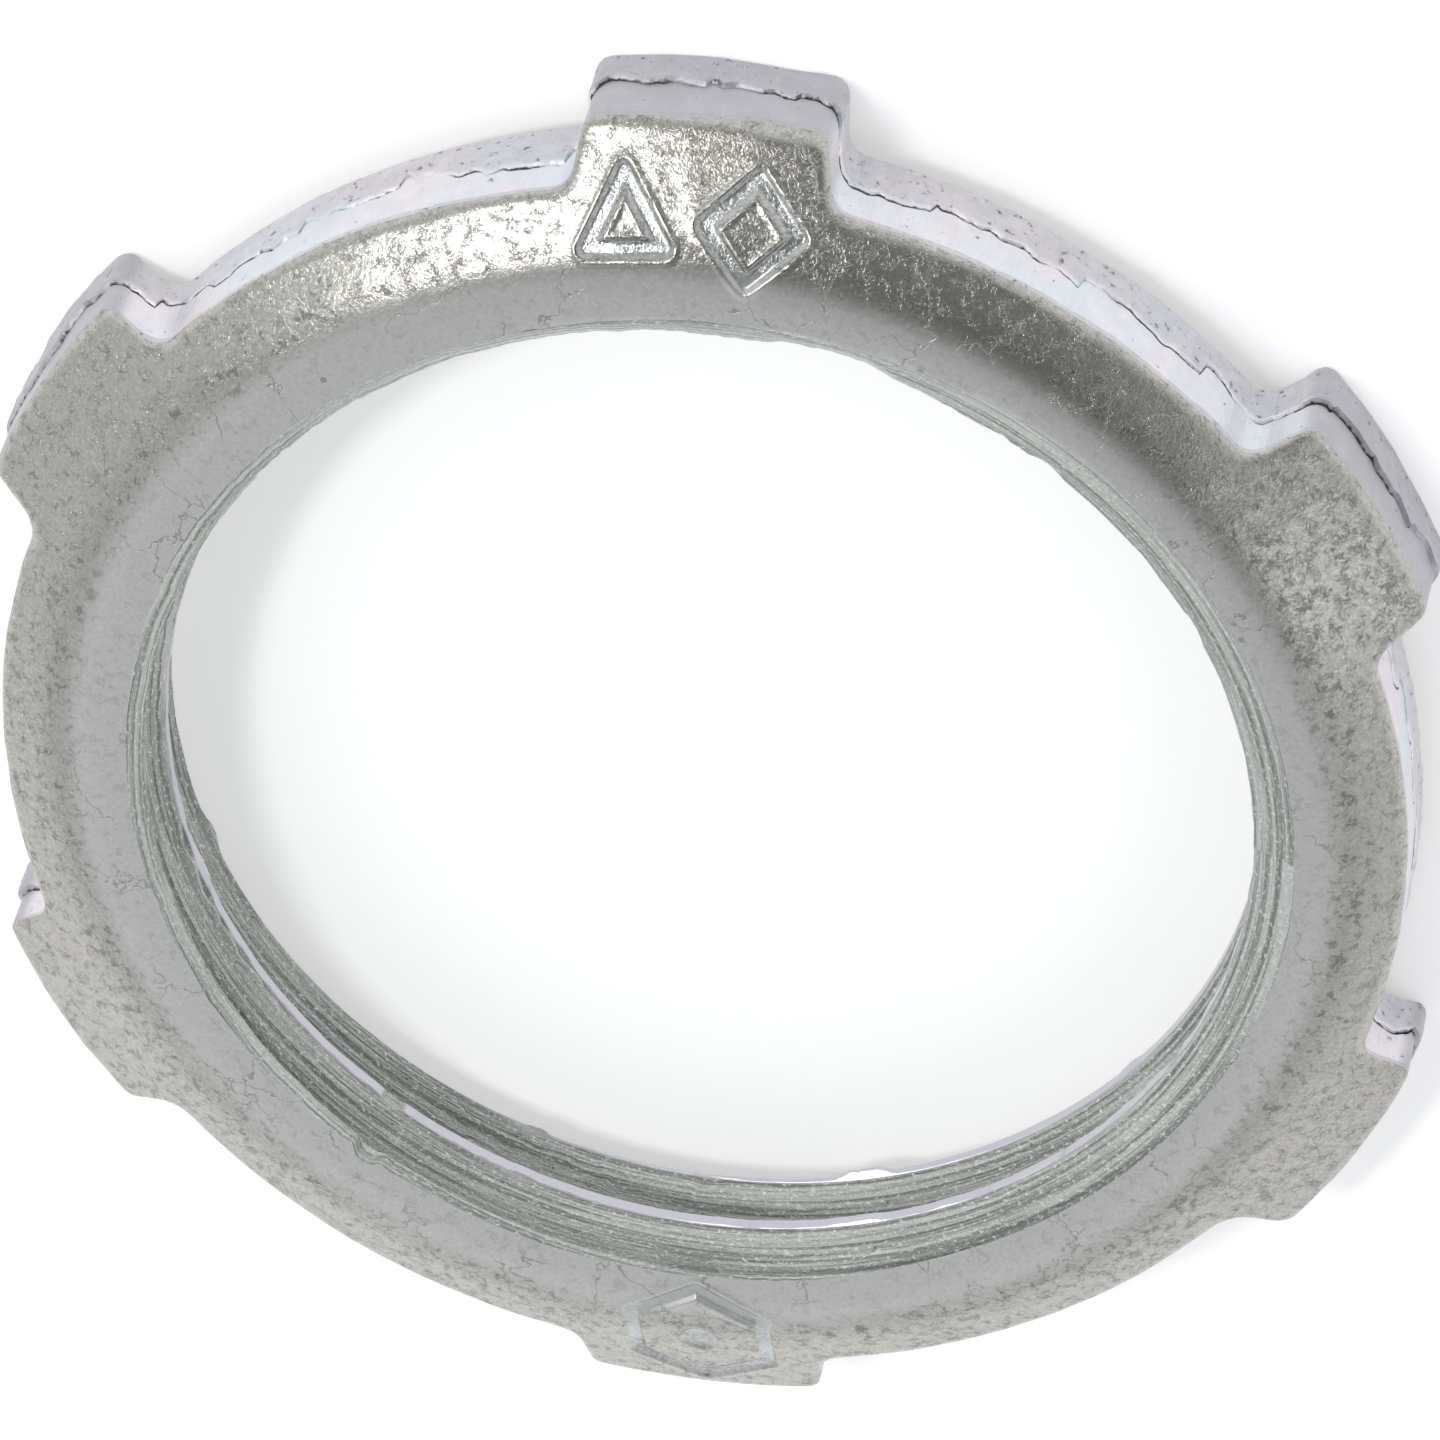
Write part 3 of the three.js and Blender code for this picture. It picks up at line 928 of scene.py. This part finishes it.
def makeTappedThread():
    material, tree = newMaterial("zincOverTappedSteel")
    place, radius = coordinatesInMm(tree)
    parts = addNode(tree, "ShaderNodeSeparateXYZ", inputs={"Vector": place})
    angle = addNode(tree, "ShaderNodeMath", {"operation": "ARCTAN2"},
                    {0: parts.outputs["Y"], 1: parts.outputs["X"]}).outputs[0]
    rise = addNode(tree, "ShaderNodeMath", {"operation": "MULTIPLY"},
                   {0: angle, 1: -thread["pitch"] / (2 * math.pi)}).outputs[0]
    along = addNode(tree, "ShaderNodeMath", {"operation": "ADD"},
                    {0: rise, 1: parts.outputs["Z"]}).outputs[0]
    # The height above the helix repeats with the pitch, so it runs on where the angle wraps.
    # The pattern along the thread starts afresh there, which leaves a seam on the -X side.
    along = addNode(tree, "ShaderNodeMath", {"operation": "FLOORED_MODULO"},
                    {0: along, 1: thread["pitch"]}).outputs[0]
    arc = addNode(tree, "ShaderNodeMath", {"operation": "MULTIPLY"},
                  {0: angle, 1: nut["boreRadius"]}).outputs[0]
    unrolled = addNode(tree, "ShaderNodeCombineXYZ", inputs={"X": arc, "Y": along}).outputs[0]
    stretched = addNode(tree, "ShaderNodeMapping", inputs={
        "Vector": unrolled, "Scale": (0.07, 1 / tapped["lineSpacing"], 1)}).outputs[0]
    lines = addNode(tree, "ShaderNodeTexNoise", inputs={
        "Vector": stretched, "Scale": 1, "Detail": 5, "Roughness": 0.72}).outputs[0]
    blockPlace = addNode(tree, "ShaderNodeMapping", inputs={
        "Vector": unrolled, "Scale": (1.6, 6, 1)}).outputs[0]
    blocks = addNode(tree, "ShaderNodeTexVoronoi", {"feature": "F1", "distance": "CHEBYCHEV"},
                     {"Vector": blockPlace, "Scale": 1, "Randomness": 0.6})
    blockShade = addNode(tree, "ShaderNodeSeparateXYZ", inputs={
        "Vector": blocks.outputs["Color"]}).outputs["X"]
    patches = addNode(tree, "ShaderNodeTexNoise", inputs={
        "Vector": place, "Scale": 0.28, "Detail": 2}).outputs[0]
    patches = addNode(tree, "ShaderNodeMapRange", {"interpolation_type": "SMOOTHSTEP"},
                      {"Value": patches, "From Min": 0.46, "From Max": 0.6}).outputs[0]
    chatter = addNode(tree, "ShaderNodeMath", {"operation": "MULTIPLY"},
                      {0: blockShade, 1: patches}).outputs[0]
    grain = addNode(tree, "ShaderNodeTexNoise", inputs={
        "Vector": place, "Scale": 9, "Detail": 4, "Roughness": 0.7}).outputs[0]
    crest = addNode(tree, "ShaderNodeMapRange", {"interpolation_type": "SMOOTHSTEP"},
                    {"Value": radius, "From Min": tapped["crestEdge"][0],
                     "From Max": tapped["crestEdge"][1]}).outputs[0]
    shade = addNode(tree, "ShaderNodeMapRange", {"interpolation_type": "SMOOTHSTEP"},
                    {"Value": lines, "From Min": 0.4, "From Max": 0.62}).outputs[0]
    shade = addNode(tree, "ShaderNodeMath", {"operation": "MULTIPLY"}, {0: shade, 1: 0.9}).outputs[0]
    # Torn blocks, outlined where the tap chattered.
    tears = addNode(tree, "ShaderNodeTexBrick", {"offset": 0.37}, {
        "Vector": unrolled, "Scale": 1, "Brick Width": 0.75, "Row Height": 0.21,
        "Mortar Size": 0.018, "Mortar Smooth": 0.4}).outputs["Fac"]
    tears = addNode(tree, "ShaderNodeMath", {"operation": "MULTIPLY"},
                    {0: tears, 1: patches}).outputs[0]
    tears = addNode(tree, "ShaderNodeMath", {"operation": "MULTIPLY"}, {0: tears, 1: lines}).outputs[0]
    shade = addNode(tree, "ShaderNodeMath", {"operation": "MAXIMUM"}, {0: shade, 1: tears}).outputs[0]
    # Short bright glints between the lines.
    glintPlace = addNode(tree, "ShaderNodeMapping", inputs={
        "Vector": unrolled, "Scale": (5, 17, 1)}).outputs[0]
    glints = addNode(tree, "ShaderNodeTexNoise", inputs={
        "Vector": glintPlace, "Scale": 1, "Detail": 3, "Roughness": 0.8}).outputs[0]
    glints = addNode(tree, "ShaderNodeMapRange", {"interpolation_type": "SMOOTHSTEP"},
                     {"Value": glints, "From Min": 0.52, "From Max": 0.68, "To Max": 0.75}).outputs[0]
    # Small dark chips, drawn out along the thread.
    chipPlace = addNode(tree, "ShaderNodeMapping", inputs={
        "Vector": unrolled, "Scale": (1.7, 4.5, 1)}).outputs[0]
    chips = addNode(tree, "ShaderNodeTexNoise", inputs={
        "Vector": chipPlace, "Scale": 1, "Detail": 6, "Roughness": 0.75}).outputs[0]
    chips = addNode(tree, "ShaderNodeMapRange", {"interpolation_type": "SMOOTHSTEP"},
                    {"Value": chips, "From Min": 0.62, "From Max": 0.69}).outputs[0]
    base = addNode(tree, "ShaderNodeMix", {"data_type": "RGBA"},
                   {0: shade, 6: linear(tapped["flank"]), 7: linear(tapped["dark"])}).outputs[2]
    base = addNode(tree, "ShaderNodeMix", {"data_type": "RGBA"},
                   {0: glints, 6: base, 7: linear(tapped["glint"])}).outputs[2]
    base = addNode(tree, "ShaderNodeMix", {"data_type": "RGBA"},
                   {0: chips, 6: base, 7: linear(tapped["chip"])}).outputs[2]
    base = addNode(tree, "ShaderNodeMix", {"data_type": "RGBA"},
                   {0: crest, 6: base, 7: linear(tapped["crest"])}).outputs[2]
    skin = addNode(tree, "ShaderNodeMath", {"operation": "MULTIPLY"}, {0: lines, 1: 0.048}).outputs[0]
    skin = addNode(tree, "ShaderNodeMath", {"operation": "MULTIPLY_ADD"},
                   {0: chatter, 1: 0.05, 2: skin}).outputs[0]
    skin = addNode(tree, "ShaderNodeMath", {"operation": "MULTIPLY_ADD"},
                   {0: grain, 1: 0.05, 2: skin}).outputs[0]
    offCrest = addNode(tree, "ShaderNodeMapRange", inputs={
        "Value": crest, "To Min": 1, "To Max": 0.2}).outputs[0]
    skin = addNode(tree, "ShaderNodeMath", {"operation": "MULTIPLY"}, {0: skin, 1: offCrest}).outputs[0]
    relief = addNode(tree, "ShaderNodeBump", inputs={"Height": skin, "Strength": 1, "Distance": 0.001})
    finishMaterial(tree, addNode(tree, "ShaderNodeBsdfPrincipled", inputs={
        "Base Color": base, "Metallic": 1, "Roughness": tapped["roughness"], "Normal": relief.outputs[0]}))
    return material


def makeLocknut():
    materials = [makeZincFace(), makeShearedWall(), makeTappedThread()]
    piece = objectFrom(makeRing(), "zincLocknut", materials)
    print("ring and lugs:", len(piece.data.polygons), "faces")
    cutAway(piece, objectFrom(makeGroove(), "groove", materials))
    print("thread cut:", len(piece.data.polygons), "faces")
    strikeMarks(piece)
    print("marks struck:", len(piece.data.polygons), "faces")
    dropSlivers(piece, nut["sliverSize"] * mm)
    shadeByAngle(piece, nut["sharpEdge"])
    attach(piece, "root")
    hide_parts("locknut")
    return piece


locknut = makeLocknut()
locknut.data.calc_loop_triangles()
print("locknut is finished:", len(locknut.data.loop_triangles), "triangles")
